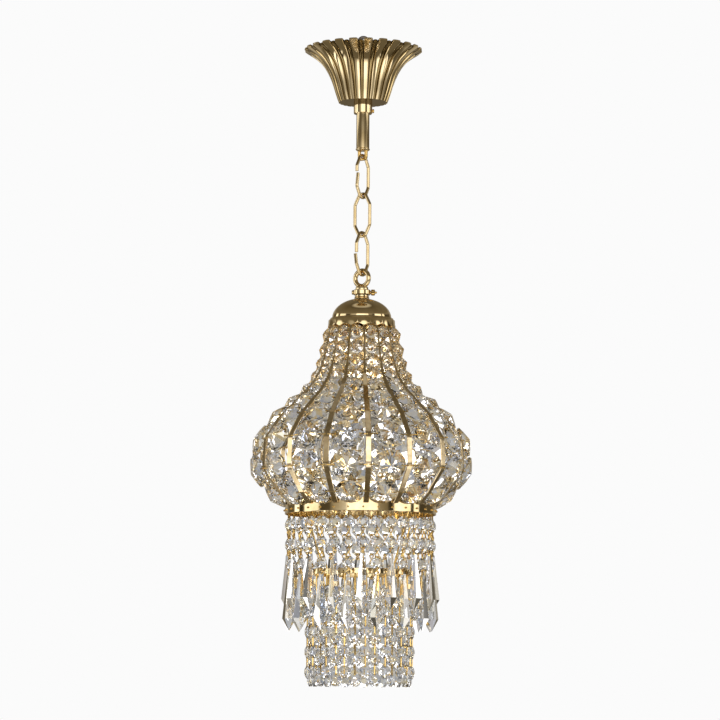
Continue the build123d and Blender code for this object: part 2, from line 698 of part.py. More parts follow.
per_sector = STRANDS // SECTORS
FRINGES = {"outer_crystals": (outer_gems, OUTER_FRONT), "outer_wires": (outer_links, OUTER_FRONT),
           "inner_crystals": (inner_gems, INNER_FRONT), "inner_wires": (inner_links, INNER_FRONT)}
for name, (kinds, front) in FRINGES.items():
    with BuildPart() as first_sector:
        for index in range(per_sector):
            add(kinds[index % 2], rotation=(0, 0, -90 + front + index * STRAND_STEP))
    for sector in range(SECTORS):
        with BuildPart() as fringe_sector:
            add(first_sector.part, rotation=(0, 0, sector * 360 / SECTORS))
        save(fringe_sector, f"{name}_{sector + 1}")
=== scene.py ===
import random
from math import atan2, cos, degrees, pi, radians, sin, tan

import bpy
from mathutils import Matrix, Quaternion, Vector


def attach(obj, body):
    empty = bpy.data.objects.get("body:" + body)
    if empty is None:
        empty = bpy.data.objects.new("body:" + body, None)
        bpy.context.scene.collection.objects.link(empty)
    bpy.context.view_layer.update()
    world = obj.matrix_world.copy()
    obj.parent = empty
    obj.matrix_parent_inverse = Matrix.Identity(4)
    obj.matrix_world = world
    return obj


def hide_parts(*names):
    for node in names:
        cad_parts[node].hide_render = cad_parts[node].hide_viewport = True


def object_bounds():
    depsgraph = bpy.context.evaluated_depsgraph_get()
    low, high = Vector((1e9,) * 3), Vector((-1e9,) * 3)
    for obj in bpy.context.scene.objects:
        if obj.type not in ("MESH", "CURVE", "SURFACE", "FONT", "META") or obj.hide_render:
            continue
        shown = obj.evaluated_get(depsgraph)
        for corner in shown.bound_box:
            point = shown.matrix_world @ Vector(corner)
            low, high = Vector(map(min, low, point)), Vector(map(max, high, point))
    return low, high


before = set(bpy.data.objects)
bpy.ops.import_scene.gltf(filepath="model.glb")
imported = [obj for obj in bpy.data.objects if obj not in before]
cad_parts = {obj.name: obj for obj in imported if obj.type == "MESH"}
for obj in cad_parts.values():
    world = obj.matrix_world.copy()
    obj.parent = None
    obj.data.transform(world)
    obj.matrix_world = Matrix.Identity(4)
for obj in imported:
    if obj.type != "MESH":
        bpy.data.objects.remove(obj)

cad_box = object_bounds()
random.seed(20)

MM = 0.001
Z_AXIS = Vector((0, 0, 1))

# ---------------------------------------------------------------- sizes, in millimetres
FRONT = -90.0
RIB_FRONT = 4.0
COLUMNS = 16
COLUMN_STEP = 360.0 / COLUMNS
STRANDS = 32
STRAND_STEP = 360.0 / STRANDS
SECTORS = 8
PER_SECTOR = STRANDS // SECTORS
OUTER_FRONT = 2.0
INNER_FRONT = 6.0

RIB_THICK = 1.5
# half width of a rib at a height: slim at the neck, full from the shoulder down
RIB_NECK, RIB_BELLY = 1.1, 3.0
RIB_NECK_Z, RIB_BELLY_Z = -360.0, -396.0
RIB_BEND = 14.0
RIB_CHAMFER = 0.35

# body crystals: radius, height, half width, half height and half thickness of each row
BODY_ROWS = [(40.2, -326.6, 6.9, 7.4, 4.6), (43.6, -343.2, 7.6, 8.0, 4.9),
             (47.0, -358.2, 8.2, 7.6, 5.1), (52.6, -372.6, 9.1, 8.0, 5.3),
             (62.7, -387.4, 10.6, 9.4, 5.8), (79.6, -402.6, 13.2, 12.0, 6.3),
             (97.0, -418.4, 15.6, 14.0, 6.6), (115.4, -444.4, 17.8, 16.2, 7.2),
             (117.4, -477.0, 18.4, 16.8, 7.2), (97.0, -503.8, 15.4, 15.2, 6.8)]
RIB_POINTS = [(37.4, -319.2)] + [(row[0], row[1]) for row in BODY_ROWS] + [(84.4, -515.2)]

BAND_R = 82.5
BAND_TOP = -509.0
BAND_HEIGHT = 14.6
BAND_HOLE_Z = -519.5
SHEET = 1.2
INNER_RING_R = 58.1
INNER_RING_TOP = -583.5
INNER_RING_HEIGHT = 6.0

OCTAGON = 6.9
OUTER_R = 78.6
OUTER_FIRST = -535.6
OUTER_PITCH = 21.6
ICICLE_LENGTH = 62.0
LINK_DROP = 2.5
INNER_R = 57.2
INNER_STEP_IN = 3.0
INNER_FIRST = -608.0
INNER_PITCH = 21.6
INNER_STAGGER = 8.6
INNER_BEADS = 5
HANG_Z = -521.0
OUTER_BEAD_THICK, INNER_BEAD_THICK = 3.2, 2.6

# wires of the fringes: radius of the wire, radius of its ball heads, reach into the bead
CLIP_WIRE, CLIP_HEAD, CLIP_BITE = 0.62, 1.35, 1.4
CLIP_WIDE, CLIP_DEEP = 1.9, 0.7
PIN_WIRE, PIN_HEAD, PIN_BITE = 0.85, 1.25, 1.2
HOOK_WIRE, HOOK_HEAD = 0.6, 1.1
HANGER_WIRE, HANGER_HEAD, HANGER_FOOT = 0.7, 1.1, 1.2
ROSETTE_WIRE, ROSETTE_HEAD = 0.75, 1.15

# how far each part may hang out of true, in degrees
ROSETTE_LEAN, ROSETTE_YAW, ROSETTE_ROLL = 5, 2, 6
OUTER_LEAN, OUTER_YAW, OUTER_ROLL = 4, 13, 4
ICICLE_FACES, ICICLE_YAW = (0, 60, 120), 18
INNER_PLAY, INNER_EDGE_PLAY, INNER_ROLL = 3.5, 0.6, 3
CLIP_YAW = 25

# noise of the materials, and the glass
NOISE_DETAIL = 3.0
METAL_GRAIN = 90.0
CUP_SMEAR = 240.0
GLASS_WIPE = 60.0
BULB_HAZE = 40.0
HOLDER_TONE = 25.0
FLOOR_TONE = 1.5
CRYSTAL_IOR = 1.5
BULB_IOR = 1.05
SHARP_ANGLE = 32


# ---------------------------------------------------------------- materials
def new_material(name):
    material = bpy.data.materials.new(name)
    material.use_nodes = True
    nodes, links = material.node_tree.nodes, material.node_tree.links
    return material, nodes, links, nodes["Principled BSDF"]


def add_noise(nodes, links, scale):
    texture = nodes.new("ShaderNodeTexNoise")
    texture.inputs["Scale"].default_value = scale
    texture.inputs["Detail"].default_value = NOISE_DETAIL
    source = nodes.new("ShaderNodeTexCoord")
    links.new(source.outputs["Object"], texture.inputs["Vector"])
    return texture.outputs["Fac"]


def add_ramp(nodes, links, factor, stops, constant=False):
    ramp = nodes.new("ShaderNodeValToRGB")
    if constant:
        ramp.color_ramp.interpolation = "CONSTANT"
    while len(ramp.color_ramp.elements) < len(stops):
        ramp.color_ramp.elements.new(0.5)
    for element, (place, color) in zip(ramp.color_ramp.elements, stops):
        element.position = place
        element.color = (*color, 1.0)
    links.new(factor, ramp.inputs["Fac"])
    return ramp.outputs["Color"]


def metal(name, dark, light, rough, bump=0.0):
    material, nodes, links, shader = new_material(name)
    shader.inputs["Metallic"].default_value = 1.0
    shade = add_noise(nodes, links, METAL_GRAIN)
    links.new(add_ramp(nodes, links, shade, [(0.3, dark), (0.7, light)]), shader.inputs["Base Color"])
    smear = add_noise(nodes, links, METAL_GRAIN * 3.1)
    low, high = (rough * 0.7,) * 3, (rough * 1.5,) * 3
    links.new(add_ramp(nodes, links, smear, [(0.35, low), (0.7, high)]), shader.inputs["Roughness"])
    if bump:
        ripple = nodes.new("ShaderNodeBump")
        ripple.inputs["Strength"].default_value = bump
        ripple.inputs["Distance"].default_value = 0.0005
        links.new(add_noise(nodes, links, METAL_GRAIN * 0.6), ripple.inputs["Height"])
        links.new(ripple.outputs["Normal"], shader.inputs["Normal"])
    return material


def groove_shaded_metal(name, stops, rough):
    """Brass painted pale on its ridges and nearly black in its grooves: painted shade, chosen by the facet
    attribute.
    """
    material, nodes, links, shader = new_material(name)
    shader.inputs["Metallic"].default_value = 1.0
    facet = nodes.new("ShaderNodeAttribute")
    facet.attribute_name = "facet"
    links.new(add_ramp(nodes, links, facet.outputs["Fac"], stops), shader.inputs["Base Color"])
    smear = add_noise(nodes, links, CUP_SMEAR)
    low, high = (rough * 0.7,) * 3, (rough * 1.5,) * 3
    links.new(add_ramp(nodes, links, smear, [(0.35, low), (0.7, high)]), shader.inputs["Roughness"])
    return material


def crystal_glass(name, stops):
    """Clear glass whose facets each carry a colour of their own: painted split colours and painted warm
    glints of the brass seen through it.
    """
    material, nodes, links, shader = new_material(name)
    facet = nodes.new("ShaderNodeAttribute")
    facet.attribute_name = "facet"
    links.new(add_ramp(nodes, links, facet.outputs["Fac"], stops, constant=True),
              shader.inputs["Base Color"])
    wipe = add_noise(nodes, links, GLASS_WIPE)
    links.new(add_ramp(nodes, links, wipe, [(0.4, (0.0,) * 3), (0.8, (0.04,) * 3)]),
              shader.inputs["Roughness"])
    shader.inputs["Transmission Weight"].default_value = 1.0
    shader.inputs["IOR"].default_value = CRYSTAL_IOR
    return material


BRASS = metal("brass_polished", (0.66, 0.50, 0.26), (0.82, 0.66, 0.40), 0.07, bump=0.05)
RIB_BRASS = metal("brass_rib", (0.60, 0.45, 0.24), (0.80, 0.66, 0.44), 0.14, bump=0.08)
BRASS_SATIN = metal("brass_satin", (0.58, 0.38, 0.12), (0.76, 0.52, 0.20), 0.18, bump=0.1)
# painted shade: the ridges of the cup get pale brass, and its grooves nearly black brass
CUP_BRASS = groove_shaded_metal("brass_cup", [(0.0, (0.84, 0.68, 0.42)), (0.5, (0.60, 0.44, 0.20)),
                                       (1.0, (0.07, 0.045, 0.015))], 0.08)
GOLD_WIRE = metal("gold_wire", (0.80, 0.52, 0.16), (0.92, 0.68, 0.28), 0.16)
DARK_STEEL = metal("dark_steel", (0.07, 0.06, 0.055), (0.16, 0.14, 0.12), 0.4, bump=0.2)

# painted light: crystal facets take these colours at random, as painted split colours and painted warm glints
# of brass; the white stops leave a facet clear
ROSETTE_PAINTED_GLINTS = [(0.0, (1.0, 1.0, 1.0)), (0.26, (0.74, 0.80, 0.94)), (0.40, (1.0, 0.93, 0.78)),
                 (0.56, (0.90, 0.88, 0.95)), (0.68, (1.0, 0.84, 0.52)), (0.80, (0.62, 0.66, 0.76)),
                 (0.90, (1.0, 0.72, 0.32))]
NECK_PAINTED_GLINTS = [(0.0, (0.98, 0.94, 0.86)), (0.30, (1.0, 0.84, 0.54)), (0.52, (0.80, 0.80, 0.84)),
              (0.72, (1.0, 0.74, 0.38)), (0.86, (0.62, 0.58, 0.56))]
BEAD_PAINTED_GLINTS = [(0.0, (1.0, 1.0, 1.0)), (0.34, (0.72, 0.80, 0.95)), (0.52, (0.99, 0.93, 0.82)),
              (0.70, (0.52, 0.56, 0.66)), (0.80, (1.0, 0.88, 0.58)), (0.90, (0.84, 0.84, 0.95))]
ROSETTE_GLASS = crystal_glass("rosette_glass", ROSETTE_PAINTED_GLINTS)
NECK_GLASS = crystal_glass("neck_glass", NECK_PAINTED_GLINTS)
BEAD_GLASS = crystal_glass("bead_glass", BEAD_PAINTED_GLINTS)


def bulb_glass():
    material, nodes, links, shader = new_material("bulb_glass")
    haze = add_noise(nodes, links, BULB_HAZE)
    links.new(add_ramp(nodes, links, haze, [(0.3, (0.0,) * 3), (0.8, (0.05,) * 3)]),
              shader.inputs["Roughness"])
    shader.inputs["Transmission Weight"].default_value = 1.0
    shader.inputs["IOR"].default_value = BULB_IOR
    return material


def holder_plastic():
    material, nodes, links, shader = new_material("holder_plastic")
    tone = add_noise(nodes, links, HOLDER_TONE)
    links.new(add_ramp(nodes, links, tone, [(0.3, (0.78, 0.75, 0.68)), (0.7, (0.88, 0.86, 0.80))]),
              shader.inputs["Base Color"])
    shader.inputs["Roughness"].default_value = 0.35
    return material


BULB = bulb_glass()
HOLDER = holder_plastic()


# ---------------------------------------------------------------- mesh helpers
class Pile:
    """Collects many small closed meshes, and makes one object of them."""

    def __init__(self):
        self.verts, self.faces, self.tints = [], [], []

    def add(self, shape, matrix=Matrix.Identity(4)):
        verts, faces = shape
        base = len(self.verts)
        self.verts += [matrix @ Vector(v) * MM for v in verts]
        self.faces += [[base + i for i in face] for face in faces]
        self.tints += [random.random() for _ in faces]

    def make(self, name, body, slot, material, nodes=(), smooth=False):
        mesh = bpy.data.meshes.new(name)
        mesh.from_pydata(self.verts, [], self.faces)
        mesh.attributes.new("facet", "FLOAT", "FACE").data.foreach_set("value", self.tints)
        mesh.materials.append(material)
        mesh.update()
        if smooth:
            mesh.shade_smooth()
            mesh.set_sharp_from_angle(angle=radians(SHARP_ANGLE))
        piece = bpy.data.objects.new(name, mesh)
        bpy.context.scene.collection.objects.link(piece)
        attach(piece, body)
        if nodes:
            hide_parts(*nodes)
        return piece


def ring_faces(rings, count, loop=False):
    """Quads between successive rings of count vertices each, and caps on the ends unless it is a loop."""
    faces = []
    pairs = rings if loop else rings - 1
    for r in range(pairs):
        for k in range(count):
            a, b = r * count + k, r * count + (k + 1) % count
            c, d = ((r + 1) % rings) * count + (k + 1) % count, ((r + 1) % rings) * count + k
            faces.append((a, b, c, d))
    if not loop:
        faces.append(tuple(range(count))[::-1])
        faces.append(tuple((rings - 1) * count + k for k in range(count)))
    return faces


def lathe(profile, steps=96, shape=lambda angle, r, z: (r, z), closed=True):
    """Closed profile of (r, z), turned about Z. shape may change a point as the angle goes round."""
    verts = []
    for k in range(steps):
        angle = 2 * pi * k / steps
        for r, z in profile:
            r2, z2 = shape(angle, r, z)
            verts.append((r2 * cos(angle), r2 * sin(angle), z2))
    count = len(profile)
    faces = []
    for k in range(steps):
        for i in range(count if closed else count - 1):
            j = (i + 1) % count
            k2 = (k + 1) % steps
            faces.append((k * count + i, k2 * count + i, k2 * count + j, k * count + j))
    return verts, faces


def tube(points, radius, sides=12, closed=False):
    """Round tube along a list of points, with caps unless it is closed."""
    points = [Vector(p) for p in points]
    count = len(points)
    normal = None
    verts = []
    for i, point in enumerate(points):
        if closed:
            along = points[(i + 1) % count] - points[i - 1]
        else:
            along = points[min(i + 1, count - 1)] - points[max(i - 1, 0)]
        along.normalize()
        if normal is None:
            normal = along.orthogonal().normalized()
        normal = (normal - along * normal.dot(along)).normalized()
        side = along.cross(normal)
        for k in range(sides):
            a = 2 * pi * k / sides
            verts.append(point + (normal * cos(a) + side * sin(a)) * radius)
    return verts, ring_faces(count, sides, loop=closed)


def rounded(points, bend, steps=6, closed=False):
    """The same route with each corner turned into an arc of up to that radius."""
    points = [Vector(p) for p in points]
    count = len(points)
    route = []
    for i, point in enumerate(points):
        if not closed and i in (0, count - 1):
            route.append(point)
            continue
        before, after = points[i - 1] - point, points[(i + 1) % count] - point
        turn = before.angle(after)
        reach = min(bend / max(tan(turn / 2), 1e-3), 0.48 * before.length, 0.48 * after.length)
        start, end = point + before.normalized() * reach, point + after.normalized() * reach
        for k in range(steps + 1):
            t = k / steps
            route.append(start.lerp(point, t).lerp(point.lerp(end, t), t))
    return route


def sphere(radius, rings=5, sides=8):
    verts = [(0, 0, radius)]
    for r in range(1, rings):
        a = pi * r / rings
        verts += [(radius * sin(a) * cos(2 * pi * k / sides), radius * sin(a) * sin(2 * pi * k / sides),
                   radius * cos(a)) for k in range(sides)]
    verts.append((0, 0, -radius))
    faces = [(0, 1 + k, 1 + (k + 1) % sides) for k in range(sides)]
    for r in range(rings - 2):
        for k in range(sides):
            a, b = 1 + r * sides + k, 1 + r * sides + (k + 1) % sides
            faces.append((a, a + sides, b + sides, b))
    last = len(verts) - 1
    base = 1 + (rings - 2) * sides
    faces += [(last, base + (k + 1) % sides, base + k) for k in range(sides)]
    return verts, faces


def bezel(profile, sides, axis_point, axis):
    """Turned piece on any axis: profile is (distance along, radius), from one end to the other."""
    axis = Vector(axis).normalized()
    u = axis.orthogonal().normalized()
    v = axis.cross(u)
    verts = []
    for along, radius in profile:
        for k in range(sides):
            a = 2 * pi * k / sides
            verts.append(Vector(axis_point) + axis * along + (u * cos(a) + v * sin(a)) * radius)
    return verts, ring_faces(len(profile), sides)


def jitter(limit):
    """One random turn of up to that many degrees either way."""
    return random.uniform(-limit, limit)


def rib_angle(index):
    """Direction of a rib in plan, in degrees; a half index is the middle of a column."""
    return FRONT + RIB_FRONT + index * COLUMN_STEP


def outer_angle(index):
    """Direction of an outer strand in plan, in degrees."""
    return FRONT + OUTER_FRONT + index * STRAND_STEP


def outwards(angle):
    return Vector((cos(radians(angle)), sin(radians(angle)), 0))


def hang_matrix(angle, radius, z, lean=0.0, yaw=0.0, roll=0.0):
    """Local x along the tangent, y up and z outwards at a place on the circle, then small turns."""
    out = outwards(angle)
    tangent = Vector((-out.y, out.x, 0))
    place = Matrix((tangent, Z_AXIS, out)).transposed().to_4x4()
    place.translation = out * radius + Z_AXIS * z
    turns = Matrix.Rotation(-radians(lean), 4, "X") @ Matrix.Rotation(radians(yaw), 4, "Y")
    return place @ turns @ Matrix.Rotation(radians(roll), 4, "Z")


# ---------------------------------------------------------------- cut crystals
def rosette(half_width, half_height, half_thick, rims=8, apex=0.05, star=0.66, edge=0.16, table=0.46):
    """Round crystal: a fan of kites from a pointed front, rim facets, and a flat back with a bevel."""
    step = 2 * pi / rims

    def at(share, angle, z):
        return (half_width * share * cos(angle), half_height * share * sin(angle), z)
    fall = half_thick * (1.0 - edge)
    verts = [at(apex, k * step, half_thick) for k in range(rims)]
    verts += [at(star, (k + 0.5) * step, half_thick - fall * star * 0.86) for k in range(rims)]
    verts += [at(1.0, j * step / 2, half_thick * edge) for j in range(2 * rims)]
    verts += [at(1.0, j * step / 2, -half_thick * edge) for j in range(2 * rims)]
    verts += [at(table, (k + 0.5) * step, -half_thick * 0.8) for k in range(rims)]
    tops, stars, front, back, base = 0, rims, 2 * rims, 4 * rims, 6 * rims
    faces = [tuple(range(rims))]
    for k in range(rims):
        k2 = (k + 1) % rims
        far, between, near = front + 2 * k2, front + 2 * k + 1, front + 2 * k
        faces += [(tops + k, stars + k, tops + k2), (tops + k2, stars + k, far, stars + k2),
                  (stars + k, near, between), (stars + k, between, far)]
        low, middle, high = back + 2 * k, back + 2 * k + 1, back + 2 * k2
        faces += [(base + k, middle, low), (base + k, high, middle), (base + k, base + k2, high)]
    for j in range(2 * rims):
        j2 = (j + 1) % (2 * rims)
        faces.append((front + j2, front + j, back + j, back + j2))
    faces.append(tuple(base + k for k in range(rims))[::-1])
    return verts, faces


# octagon: reach of its table and star levels, and its thickness at the star and at the rim
BEAD_TABLE, BEAD_STAR = 0.40, 0.74
BEAD_STAR_THICK, BEAD_RIM_THICK = 0.52, 0.16


def octagon_bead(half, half_thick):
    """Octagon with a table, star facets and a flat rim on both sides."""
    step = 2 * pi / 8
    verts, faces = [], []
    corner = half / cos(step / 2)
    for side in (1, -1):
        base = len(verts)
        levels = ((BEAD_TABLE, step / 2, half_thick), (BEAD_STAR, 0.0, half_thick * BEAD_STAR_THICK),
                  (1.0, step / 2, half_thick * BEAD_RIM_THICK))
        for share, shift, z in levels:
            reach = corner * share
            verts += [(reach * cos(k * step + shift), reach * sin(k * step + shift), z * side)
                      for k in range(8)]
        t, s, r = base, base + 8, base + 16
        own = [tuple(t + k for k in range(8))]
        for k in range(8):
            k2 = (k + 1) % 8
            own.append((t + k, s + k2, t + k2))
            own.append((t + k, s + k, r + k, s + k2))
            own.append((s + k2, r + k, r + k2))
        faces += own if side == 1 else [face[::-1] for face in own]
        if side == 1:
            front = r
    for k in range(8):
        k2 = (k + 1) % 8
        faces.append((front + k2, front + k, r + k, r + k2))
    return verts, faces


ICICLE_CUT = 0.42
ICICLE_POINT = 13.0


def icicle_drop(length):
    """Long six-sided taper with a cut head, widest at the shoulder, and a pyramid point."""
    levels = ((0.0, 1.6, 1.4), (-2.4, 2.9, 2.4), (-6.5, 3.1, 2.7), (-length + ICICLE_POINT, 8.3, 6.6),
              (-length, 0.3, 0.25))
    verts, faces = [], []
    for y, half_width, half_thick in levels:
        cut = half_width * ICICLE_CUT
        verts += [(half_width, y, 0), (cut, y, half_thick), (-cut, y, half_thick),
                  (-half_width, y, 0), (-cut, y, -half_thick), (cut, y, -half_thick)]
    count = 6
    for level in range(len(levels) - 1):
        for k in range(count):
            a, b = level * count + k, level * count + (k + 1) % count
            faces.append((a, a + count, b + count, b))
    faces.append(tuple(range(count)))
    faces.append(tuple((len(levels) - 1) * count + k for k in range(count))[::-1])
    return verts, faces


# ---------------------------------------------------------------- ceiling gear
EYE_MEAN_R = 5.5
EYE_STEPS = 48


def ceiling_eye():
    pile = Pile()
    verts = []
    for k in range(EYE_STEPS):
        x, z = cos(2 * pi * k / EYE_STEPS) * EYE_MEAN_R, sin(2 * pi * k / EYE_STEPS) * EYE_MEAN_R
        out = Vector((x, 0, z)).normalized()
        for r, y in ((-1.5, -1.7), (-1.3, -2.0), (1.1, -2.0), (1.5, -1.5), (1.5, 1.5), (1.1, 2.0),
                     (-1.3, 2.0), (-1.5, 1.7)):
            verts.append(Vector((x, 0, z)) + out * r + Vector((0, y, 0)))
    pile.add((verts, ring_faces(EYE_STEPS, 8, loop=True)))
    pile.add(bezel([(0, 2.6), (7.6, 2.6), (8.2, 6.2), (8.6, 7.0), (11.4, 7.0), (11.4, 5.3), (19, 5.3)],
                   32, (0, 0, -6.4), (0, 0, -1)))
    pile.make("eye_forging", "suspension", "dark_steel", DARK_STEEL, ["ceiling_eye"], smooth=True)


def rod():
    pile = Pile()
    pile.add(lathe([(7.25, -18.0), (7.25, -118.6), (7.0, -119.0), (5.5, -119.0), (5.5, -18.0)], 72))
    pile.make("rod_tube_shell", "suspension", "brass", BRASS, ["rod_tube"], smooth=True)
    pile = Pile()
    bead = [(7.0 + 0.9 * sin(pi * k / 10), -119.0 - 2.4 * k / 10) for k in range(11)]
    pile.add(lathe([(0.01, -112.0), (5.3, -112.0), (5.3, -119.0)] + bead +
                   [(6.4, -121.9), (6.1, -122.0), (0.01, -122.0)], 72))
    pile.make("ferrule_bead", "suspension", "brass", BRASS, ["rod_ferrule"], smooth=True)


def plane_points(angle, z, points):
    """Points (across, up) in the upright plane through the axis at that angle in plan."""
    out = outwards(angle)
    return [out * across + Z_AXIS * (z + up) for across, up in points]


LINK_PLANE_A, LINK_PLANE_B = 52.5, -37.5
SHACKLE_BAR = -130.9
LINK_HALF, LINK_WIDE, LINK_SIDE, LINK_NECK = 23.45, 10.2, 11.5, 3.7
LINK_PITCH = 43.0
LINK_WIRE, SHACKLE_WIRE = 1.8, 1.9
LINK_BEND = 5.5
LINK_SEAT = 4.0
OPEN_GAP = 0.9
FIRST_LINK = SHACKLE_BAR + LINK_SEAT - LINK_HALF


def shackle():
    pile = Pile()
    corners = [(-4.6, 9.0), (-4.6, 0), (4.6, 0), (4.6, 9.0)]
    route = rounded(plane_points(LINK_PLANE_B, SHACKLE_BAR, corners), 3.0, 8)
    pile.add(tube(route, SHACKLE_WIRE, 16))
    pile.make("shackle_wire", "suspension", "brass", BRASS_SATIN, ["chain_shackle"], smooth=True)


def chain_link(number, plane_angle, gap, spring):
    w, s, n, h = LINK_WIDE, LINK_SIDE, LINK_NECK, LINK_HALF
    corners = [(-w, s), (-n, h), (n, h), (w, s), (w, -s), (n, -h), (-n, -h), (-w, -s)]
    z = FIRST_LINK - (number - 1) * LINK_PITCH
    pile = Pile()
    if gap is None:
        route = rounded(plane_points(plane_angle, z, corners), LINK_BEND, 8, closed=True)
        pile.add(tube(route, LINK_WIRE, 16, closed=True))
    else:
        corners = [(-w, gap + OPEN_GAP)] + corners + [(-w + spring, gap - OPEN_GAP)]
        pile.add(tube(rounded(plane_points(plane_angle, z, corners), LINK_BEND, 8), LINK_WIRE, 16))
    pile.make(f"link_{number}_wire", f"link_{number}", "brass", BRASS, [f"chain_link_{number}"],
              smooth=True)


CUP_FLUTES = 24
PETAL_SHARE = 0.66
CUP_WALL = 1.1
CUP_RIM, CUP_BASE = -9.9, -68.0
CUP_FOOT_R, CUP_SPREAD = 27.0, 36.0
CUP_FLAT_R, CUP_HOLE_R = 26.0, 8.8
# a petal sags from its middle to its flat edge, then drops along its side
PETAL_FLAT, PETAL_SIDE = 0.78, 0.22
PETAL_SAG, PETAL_EDGE, PETAL_DROP = 0.12, 0.93, 0.7
LOW_BEAD = 0.45
# depth of the grooves at the foot, what is added towards the rim, and the teeth of the rim
GROOVE, GROOVE_MORE = 1.6, 2.6
TOOTH, TOOTH_ZONE = 2.4, 4.0


def cup_petal(angle):
    """How far the cup stands out at an angle, 0 to 1: flat petals with steep sides, and low beads between."""
    turn = (angle / (2 * pi) * CUP_FLUTES) % 1.0
    if turn < PETAL_SHARE:
        t = abs(2 * turn / PETAL_SHARE - 1)
        if t < PETAL_FLAT:
            return 1.0 - PETAL_SAG * t * t
        return PETAL_EDGE * (1.0 - (t - PETAL_FLAT) / PETAL_SIDE) ** PETAL_DROP
    t = 2 * (turn - PETAL_SHARE) / (1 - PETAL_SHARE) - 1
    return LOW_BEAD * (1.0 - t * t) ** 0.5


def cup_flute(angle, r, z):
    crest = cup_petal(angle)
    share = max(0.0, min(1.0, (r - CUP_FOOT_R) / CUP_SPREAD))
    depth = GROOVE + GROOVE_MORE * share
    tooth = (1.0 - crest) * TOOTH if z > CUP_RIM - TOOTH_ZONE else 0.0
    return r - depth * (1.0 - crest), z - tooth


def canopy():
    outer = [(27.0, -68.0), (28.9, -63.0), (30.9, -57.0), (33.3, -49.0), (36.0, -41.5), (39.2, -34.6),
             (43.0, -28.2), (47.4, -22.8), (52.6, -18.2), (58.6, -14.0), (63.4, -11.0), (65.2, -9.6),
             (65.0, -8.2)]
    inner = [(r - CUP_WALL, z + 0.5) for r, z in outer[::-1]]
    inner[-1] = (inner[-1][0], CUP_BASE + CUP_WALL)
    profile = [(CUP_HOLE_R, CUP_BASE), (26.2, CUP_BASE)] + outer + inner
    profile.append((CUP_HOLE_R, CUP_BASE + CUP_WALL))

    def fluted(angle, r, z):
        return (r, z) if r < CUP_FLAT_R else cup_flute(angle, r, z)
    pile = Pile()
    steps = CUP_FLUTES * 40
    pile.add(lathe(profile, steps, fluted))
    # painted shade: the faces of each groove get darker brass the deeper they lie; the flat underside of the
    # foot gets a middle shade
    pile.tints = []
    for k in range(steps):
        crest = cup_petal(2 * pi * (k + 0.5) / steps)
        shade = min(1.0, max(0.0, 1.25 * (1.0 - crest)))
        pile.tints += [0.55] + [shade] * (len(profile) - 1)
    pile.make("cup_fluted", "canopy", "brass", CUP_BRASS, ["canopy_cup"], smooth=True)
    pile = Pile()
    pile.add(lathe([(7.35, -65.0), (8.75, -65.0), (8.75, -68.0), (10.25, -68.0), (10.25, -79.8),
                    (9.6, -80.6), (7.35, -80.6)], 72))
    pile.make("collar_turned", "canopy", "brass", BRASS, ["canopy_collar"], smooth=True)
    pile = Pile()
    pile.add(bezel([(7.6, 1.3), (10.4, 1.3), (10.5, 2.1), (10.8, 2.3), (11.9, 2.2), (12.3, 1.6)], 20,
                   (0, 0, -77.2), (1, 0, 0)))
    pile.make("set_screw_turned", "set_screw", "brass", BRASS_SATIN, ["canopy_set_screw"], smooth=True)


# ---------------------------------------------------------------- top of the pendant
LOOP_PLANE = -33.0
LOOP_R, LOOP_WIRE = 8.6, 2.6
LOOP_Z = FIRST_LINK - 2 * LINK_PITCH - LINK_HALF + 4.7 - LOOP_R
DOME_R, DOME_RISE, DOME_BASE = 32.5, 22.0, -308.0


def loop_and_stem():
    pile = Pile()
    circle = [(LOOP_R * cos(2 * pi * k / 64), LOOP_R * sin(2 * pi * k / 64)) for k in range(64)]
    ring = plane_points(LOOP_PLANE, LOOP_Z, circle)
    pile.add(tube(ring, LOOP_WIRE, 18, closed=True))
    foot = LOOP_Z - LOOP_R
    pile.add(lathe([(0.01, foot + 1.4), (3.6, foot + 1.2), (5.6, -272.6), (6.8, -273.6), (7.0, -274.2),
                    (7.0, -276.6), (6.4, -277.0), (6.4, -281.9), (7.0, -282.3), (7.0, -282.6),
                    (5.0, -282.8), (5.0, -374.0), (0.01, -374.0)], 64))
    pile.make("loop_casting", "pendant", "brass", BRASS, ["suspension_loop"], smooth=True)


def clamp():
    top, height = -276.5, 5.5
    middle = top - height / 2
    pile = Pile()
    pile.add(lathe([(7.05, top), (9.0, top), (9.6, top - 0.7), (9.6, top - height + 0.7),
                    (9.0, top - height), (7.05, top - height)], 64))
    pile.add(bezel([(8.8, 2.4), (9.6, 2.5), (10.6, 2.5), (11.1, 1.9), (11.2, 0.9)], 20,
                   (0, 0, middle), (-1, 0, 0)))
    pile.make("clamp_turned", "pendant", "brass", BRASS, ["clamp_collar"], smooth=True)
    pile = Pile()
    knurl = bezel([(9.9, 2.2), (10.2, 3.1), (10.8, 3.4), (13.6, 3.4), (14.2, 3.1), (14.5, 2.2)], 28,
                  (0, 0, middle), (1, 0, 0))
    knurled = []
    for i, v in enumerate(knurl[0]):
        axis_point = Vector((v.x, 0, middle))
        knurled.append(axis_point + (v - axis_point) * (1.0 if i % 2 else 0.9))
    pile.add((knurled, knurl[1]))
    pile.add(bezel([(7.4, 1.3), (10.0, 1.3)], 16, (0, 0, middle), (1, 0, 0)))
    pile.add(bezel([(14.2, 1.2), (16.2, 1.1), (16.5, 0.6)], 16, (0, 0, middle), (1, 0, 0)))
    pile.make("thumb_screw_knurled", "clamp_screw", "brass", BRASS_SATIN, ["thumb_screw"], smooth=True)
    pile = Pile()
    pile.add(lathe([(5.05, -282.7), (7.2, -282.7), (7.7, -283.1), (7.7, -284.2), (7.2, -284.5),
                    (8.0, -284.8), (8.4, -285.4), (8.2, -285.95), (5.05, -285.95)], 64))
    pile.make("stem_nut_turned", "pendant", "brass", BRASS, ["stem_nut"], smooth=True)


